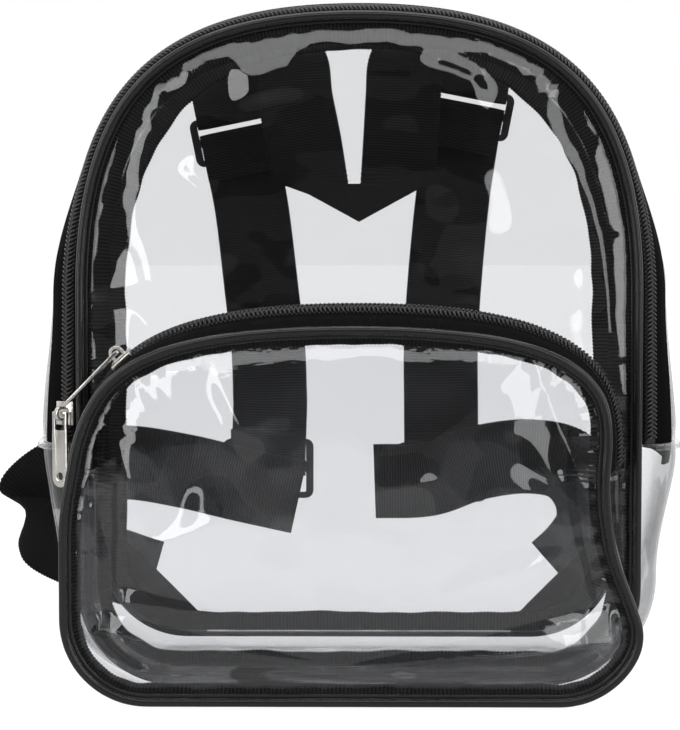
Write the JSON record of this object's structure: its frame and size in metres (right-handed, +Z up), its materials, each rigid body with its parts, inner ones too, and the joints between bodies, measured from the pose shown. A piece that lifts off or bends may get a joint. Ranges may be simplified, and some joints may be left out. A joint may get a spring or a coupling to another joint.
{
  "type": "clear stadium backpack",
  "caption": "Clear vinyl backpack with an arched body, zipped front pocket, black piping and adjustable webbing shoulder straps.",
  "frame": {"origin": "centre of the flat underside that the bag stands on, midway between the main body's front and back seams", "axes": "+Z up, -Y towards the front pocket, +X towards the right-hand side as seen from the front"},
  "size_m": [0.331, 0.2003, 0.3121],
  "materials": {
    "clear_vinyl": "clear, glossy",
    "zip_tape": "woven",
    "zip_coil": "satin",
    "piping": "glossy",
    "ribbon": "ribbed weave",
    "webbing": "woven",
    "plastic": "moulded",
    "nickel": "polished"
  },
  "bodies": {
    "bag": {"front_panel": "clear_vinyl", "back_panel": "clear_vinyl", "lower_gusset": "clear_vinyl", "upper_gusset": "clear_vinyl", "pocket_panel": "clear_vinyl", "pocket_gusset": "clear_vinyl", "zip_end_fold_left": "clear_vinyl", "zip_end_fold_right": "clear_vinyl", "pocket_end_fold_left": "clear_vinyl", "pocket_end_fold_right": "clear_vinyl", "main_zip_facing": "zip_tape", "main_zip_back_tape": "zip_tape", "pocket_zip_facing": "zip_tape", "pocket_zip_back_tape": "zip_tape", "main_zip_coil": "zip_coil", "pocket_zip_coil": "zip_coil", "front_piping": "piping", "back_piping": "piping", "pocket_piping": "piping", "front_binding": "ribbon", "back_binding": "ribbon", "pocket_binding": "ribbon", "zip_end_binding_left": "ribbon", "zip_end_binding_right": "ribbon", "yoke": "webbing", "yoke_strap_left": "webbing", "yoke_strap_right": "webbing", "shoulder_strap_left": "webbing", "shoulder_strap_right": "webbing", "lower_strap_left": "webbing", "lower_strap_right": "webbing", "corner_tab_left": "webbing", "corner_tab_right": "webbing", "adjuster_left": "plastic", "adjuster_right": "plastic", "ladder_lock_left": "plastic", "ladder_lock_right": "plastic", "main_zip_slider": "nickel", "pocket_zip_slider": "nickel"},
    "main_pull": {"main_zip_pull": "nickel"},
    "pocket_pull": {"pocket_zip_pull": "nickel"}
  },
  "joints": [
    {"name": "main_pull_swing", "type": "hinge", "parent": "bag", "child": "main_pull", "pos_m": [-0.13279, -0.05434, 0.12408], "axis": [-0.854, 0.5204, -0.0007], "range_deg": [-1, 165]},
    {"name": "pocket_pull_swing", "type": "hinge", "parent": "bag", "child": "pocket_pull", "pos_m": [-0.10651, -0.06464, 0.1516], "axis": [0, 1, 0], "range_deg": [0, 165]}
  ]
}
